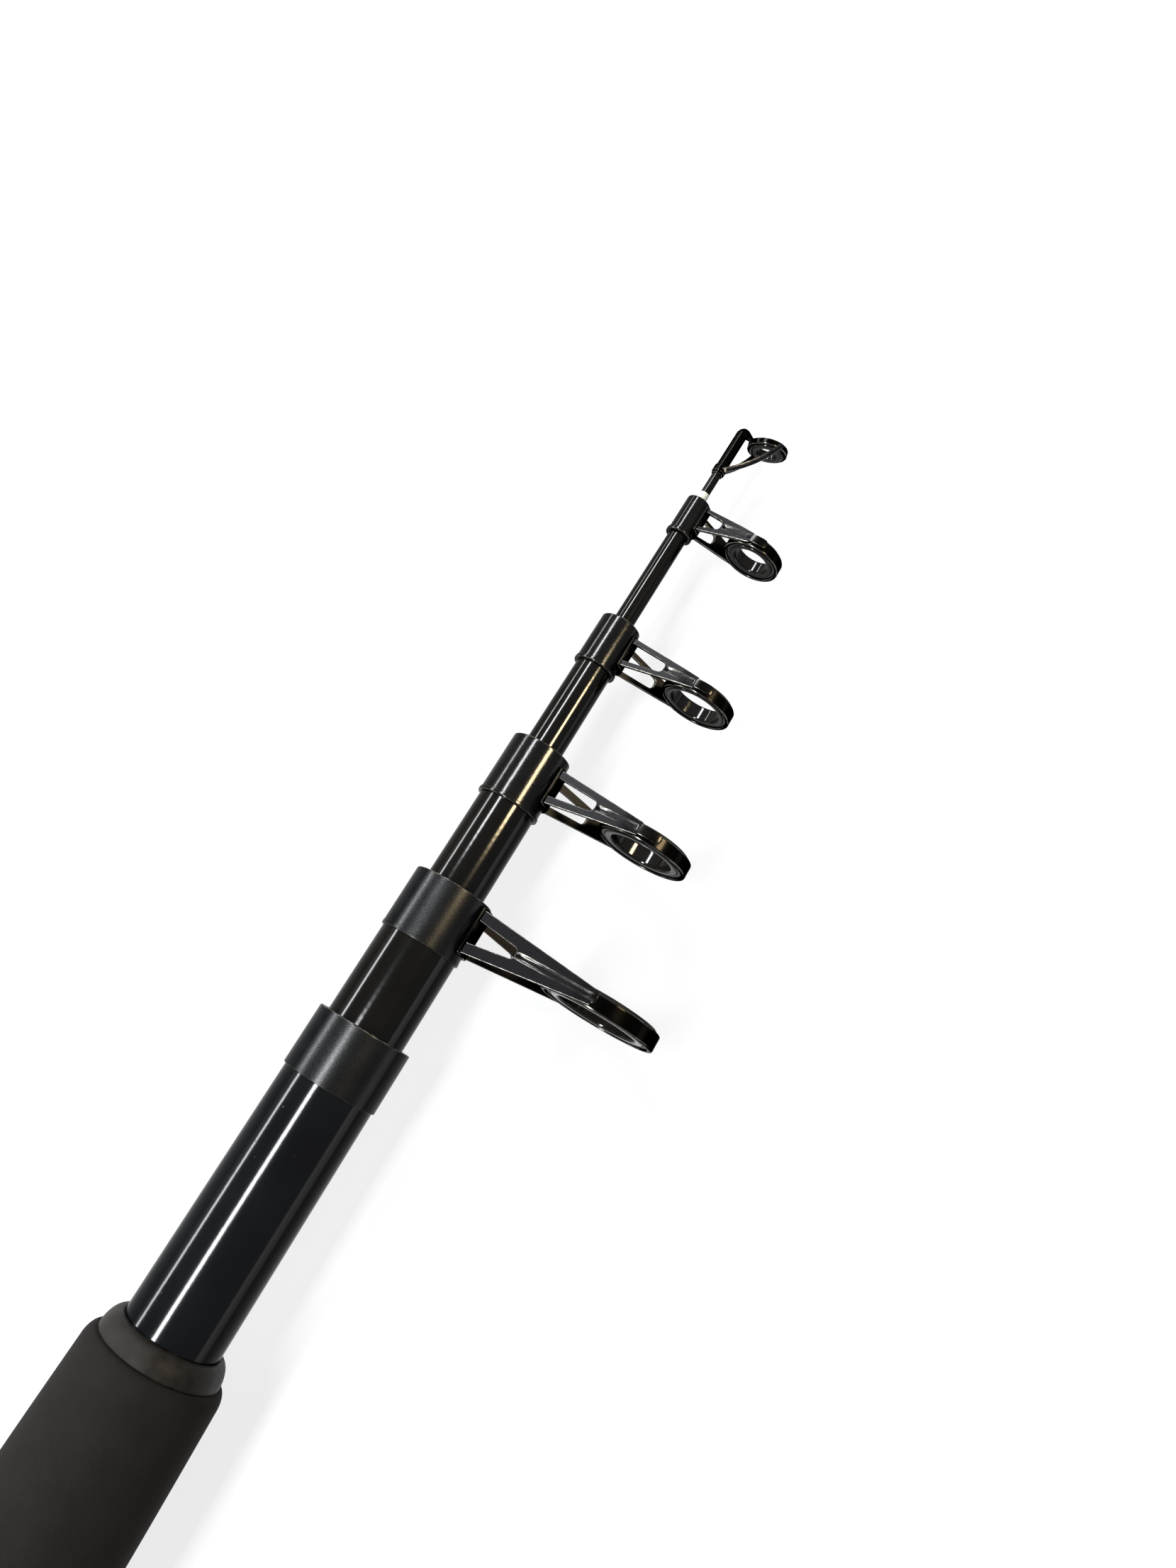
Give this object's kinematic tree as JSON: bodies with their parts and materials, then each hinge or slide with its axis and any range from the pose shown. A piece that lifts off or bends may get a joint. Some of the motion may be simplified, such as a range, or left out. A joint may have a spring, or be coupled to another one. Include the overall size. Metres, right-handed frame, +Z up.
{
  "type": "telescopic fishing rod",
  "caption": "Closed telescopic fishing rod of nested tapered tubes with guide collars, foam grips, a screw-down reel seat and a screwed butt cap.",
  "frame": {"origin": "centre of the flat end of the butt cap, on the rod's axis", "axes": "+X along the rod towards the tip, +Z up as the closed rod lies on its grips; the reel seat and the guides face -Y"},
  "size_m": [0.582, 0.0704, 0.032],
  "materials": {
    "tube_lacquer": "gloss black lacquer over wound fibre",
    "collar_metal": "satin dark grey anodised",
    "guide_steel": "polished gunmetal plating",
    "ring_ceramic": "polished",
    "shock_plastic": "satin",
    "grip_foam": "matte ground foam",
    "check_rubber": "matte",
    "seat_plastic": "satin",
    "cap_plastic": "satin",
    "seal_rubber": "matte",
    "band_wrap": "lacquered thread"
  },
  "bodies": {
    "handle": {"butt_tube": "tube_lacquer", "butt_collar": "collar_metal", "winding_check": "check_rubber", "foregrip": "grip_foam", "rear_grip": "grip_foam", "butt_insert": "cap_plastic", "seat_body": "seat_plastic", "fixed_hood": "seat_plastic"},
    "hood": {"sliding_hood": "seat_plastic"},
    "nut": {"lock_nut": "seat_plastic"},
    "cap_seal": {"cap_seal": "seal_rubber"},
    "cap": {"butt_cap": "cap_plastic", "cap_cushion": "seal_rubber"},
    "section_2": {"section_2_tube": "tube_lacquer"},
    "section_3": {"section_3_tube": "tube_lacquer"},
    "section_4": {"section_4_tube": "tube_lacquer"},
    "section_5": {"section_5_tube": "tube_lacquer"},
    "guide_1": {"guide_1_collar": "collar_metal", "guide_1_frame": "guide_steel", "guide_1_shock_ring": "shock_plastic", "guide_1_insert": "ring_ceramic"},
    "guide_2": {"guide_2_collar": "collar_metal", "guide_2_frame": "guide_steel", "guide_2_shock_ring": "shock_plastic", "guide_2_insert": "ring_ceramic"},
    "guide_3": {"guide_3_collar": "collar_metal", "guide_3_frame": "guide_steel", "guide_3_shock_ring": "shock_plastic", "guide_3_insert": "ring_ceramic"},
    "guide_4": {"guide_4_collar": "collar_metal", "guide_4_frame": "guide_steel", "guide_4_shock_ring": "shock_plastic", "guide_4_insert": "ring_ceramic"},
    "tip": {"tip_blank": "tube_lacquer", "tip_band": "band_wrap"},
    "tip_top": {"tip_tube": "guide_steel", "tip_frame": "guide_steel", "tip_insert": "ring_ceramic"}
  },
  "joints": [
    {"name": "section_2_slide", "type": "slide", "parent": "handle", "child": "section_2", "axis": [1, 0, 0], "range_m": [0, 0.34675]},
    {"name": "section_3_slide", "type": "slide", "parent": "section_2", "child": "section_3", "axis": [1, 0, 0], "range_m": [0, 0.38395]},
    {"name": "section_4_slide", "type": "slide", "parent": "section_3", "child": "section_4", "axis": [1, 0, 0], "range_m": [0, 0.42315]},
    {"name": "section_5_slide", "type": "slide", "parent": "section_4", "child": "section_5", "axis": [1, 0, 0], "range_m": [0, 0.46145]},
    {"name": "tip_slide", "type": "slide", "parent": "section_5", "child": "tip", "axis": [1, 0, 0], "range_m": [0, 0.50185]},
    {"name": "guide_1_twist", "type": "hinge", "parent": "section_2", "child": "guide_1", "pos_m": [0.4, 0, 0], "axis": [1, 0, 0], "continuous": true},
    {"name": "guide_2_twist", "type": "hinge", "parent": "section_3", "child": "guide_2", "pos_m": [0.4, 0, 0], "axis": [1, 0, 0], "continuous": true},
    {"name": "guide_3_twist", "type": "hinge", "parent": "section_4", "child": "guide_3", "pos_m": [0.4, 0, 0], "axis": [1, 0, 0], "continuous": true},
    {"name": "guide_4_twist", "type": "hinge", "parent": "section_5", "child": "guide_4", "pos_m": [0.4, 0, 0], "axis": [1, 0, 0], "continuous": true},
    {"name": "tip_top_twist", "type": "hinge", "parent": "tip", "child": "tip_top", "pos_m": [0.4, 0, 0], "axis": [1, 0, 0], "continuous": true},
    {"name": "hood_slide", "type": "slide", "parent": "handle", "child": "hood", "axis": [1, 0, 0], "range_m": [0, 0.025]},
    {"name": "nut_screw", "type": "hinge", "parent": "hood", "child": "nut", "pos_m": [0.1295, 0, 0], "axis": [1, 0, 0], "range_deg": [0, 4500]},
    {"name": "cap_slide", "type": "slide", "parent": "handle", "child": "cap_seal", "axis": [-1, 0, 0], "range_m": [0, 0.012]},
    {"name": "cap_screw", "type": "hinge", "parent": "cap_seal", "child": "cap", "pos_m": [0.004, 0, 0], "axis": [-1, 0, 0], "range_deg": [0, 2160]}
  ],
  "couplings": [
    {"joint": "nut_screw", "follows": "hood_slide", "rad_per_m": 3141.6},
    {"joint": "cap_screw", "follows": "cap_slide", "rad_per_m": 3141.6}
  ]
}
